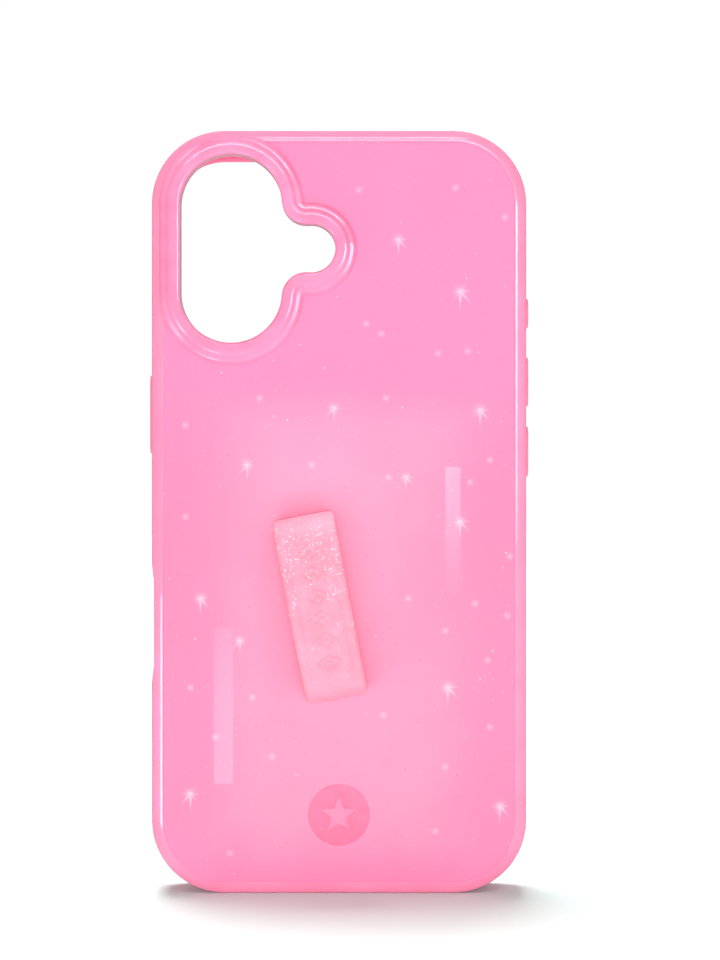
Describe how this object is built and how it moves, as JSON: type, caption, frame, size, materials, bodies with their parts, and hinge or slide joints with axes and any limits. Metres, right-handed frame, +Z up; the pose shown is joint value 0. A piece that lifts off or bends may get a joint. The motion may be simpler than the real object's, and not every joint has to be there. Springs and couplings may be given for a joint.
{
  "type": "phone case",
  "caption": "Slim two-layer phone case with a raised camera rim, push keys, side control cut-out and a finger strap on its back.",
  "frame": {"origin": "middle of the bounding box in X and Y, on the plane of the bottom edge that the case stands on", "axes": "+Z up towards the camera end, -Y out of the decorated back, +Y out of the phone pocket"},
  "size_m": [0.0774, 0.0216, 0.1546],
  "materials": {
    "bumper_rubber": "glossy translucent pink",
    "glitter_film": "printed glitter and stars",
    "clear_plate": "high gloss over glitter",
    "rim_plastic": "high gloss",
    "badge_plastic": "satin",
    "badge_inlay": "satin",
    "strap_rubber": "soft satin with glitter",
    "key_plastic": "glossy"
  },
  "bodies": {
    "case": {"bumper": "bumper_rubber", "star_film": "glitter_film", "back_plate": "clear_plate", "camera_rim": "rim_plastic", "badge_disc": "badge_plastic", "badge_star": "badge_inlay"},
    "strap": {"finger_strap": "strap_rubber"},
    "action": {"action_key": "key_plastic"},
    "volume_up": {"volume_up_key": "key_plastic"},
    "volume_down": {"volume_down_key": "key_plastic"},
    "side": {"side_key": "key_plastic"}
  },
  "joints": [
    {"name": "strap_push_in", "type": "slide", "parent": "case", "child": "strap", "axis": [0, 1, 0], "range_m": [0, 0.0035]},
    {"name": "action_press", "type": "slide", "parent": "case", "child": "action", "axis": [-1, 0, 0], "range_m": [0, 0.0004], "stiffness_N_per_m": 2000},
    {"name": "volume_up_press", "type": "slide", "parent": "case", "child": "volume_up", "axis": [-1, 0, 0], "range_m": [0, 0.0004], "stiffness_N_per_m": 2000},
    {"name": "volume_down_press", "type": "slide", "parent": "case", "child": "volume_down", "axis": [-1, 0, 0], "range_m": [0, 0.0004], "stiffness_N_per_m": 2000},
    {"name": "side_press", "type": "slide", "parent": "case", "child": "side", "axis": [1, 0, 0], "range_m": [0, 0.0004], "stiffness_N_per_m": 2000}
  ]
}
